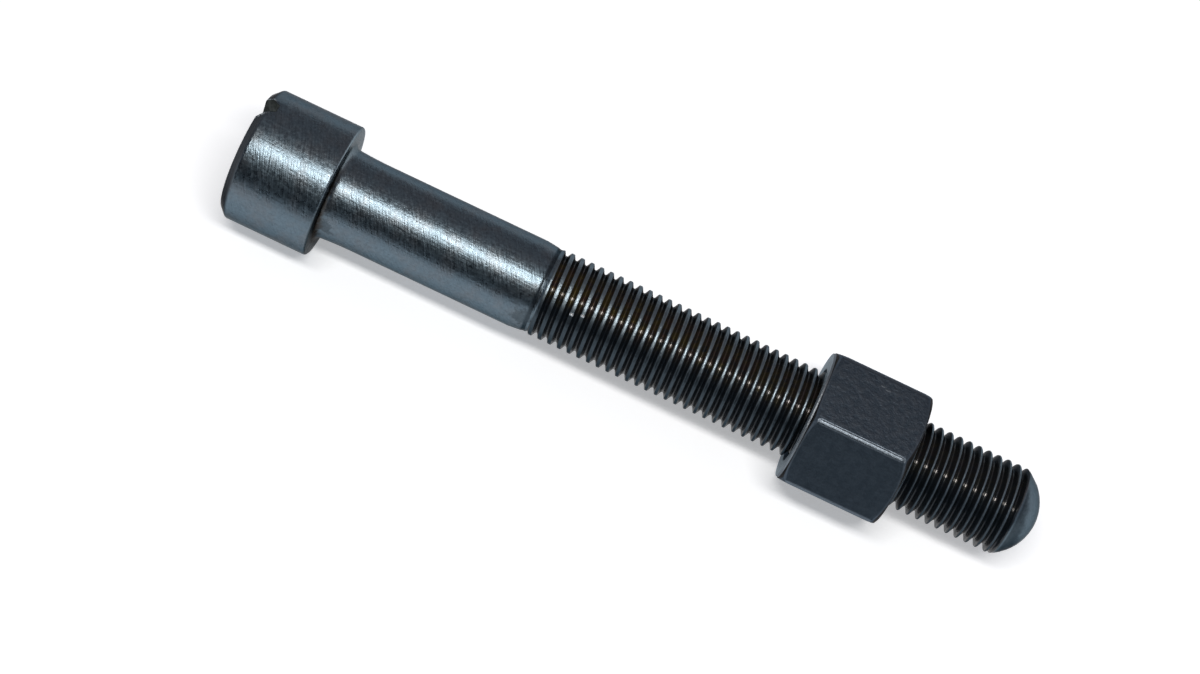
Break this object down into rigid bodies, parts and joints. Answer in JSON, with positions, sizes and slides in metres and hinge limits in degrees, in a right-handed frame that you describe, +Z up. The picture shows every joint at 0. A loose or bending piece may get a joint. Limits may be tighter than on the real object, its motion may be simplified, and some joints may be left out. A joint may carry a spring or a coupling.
{
  "type": "leaf spring center bolt",
  "caption": "Round-headed center bolt with a slotted head end, plain shank, fine thread, domed tip and a hex nut that runs along the thread to clamp a leaf spring pack.",
  "frame": {"origin": "centre of the head's bearing face, on the bolt's axis", "axes": "+X along the bolt from the head towards the tip, +Z up as the bolt lies on its head and a flat of the nut"},
  "size_m": [0.1473, 0.027, 0.0238],
  "materials": {
    "bolt_steel": "blackened ground steel, lightly oiled",
    "nut_steel": "blackened steel, matt"
  },
  "bodies": {
    "bolt": {"center_bolt": "bolt_steel"},
    "nut": {"hex_nut": "nut_steel"}
  },
  "joints": [
    {"name": "nut_travel", "type": "slide", "parent": "bolt", "child": "nut", "axis": [1, 0, 0], "range_m": [-0.0465, 0.019]}
  ]
}
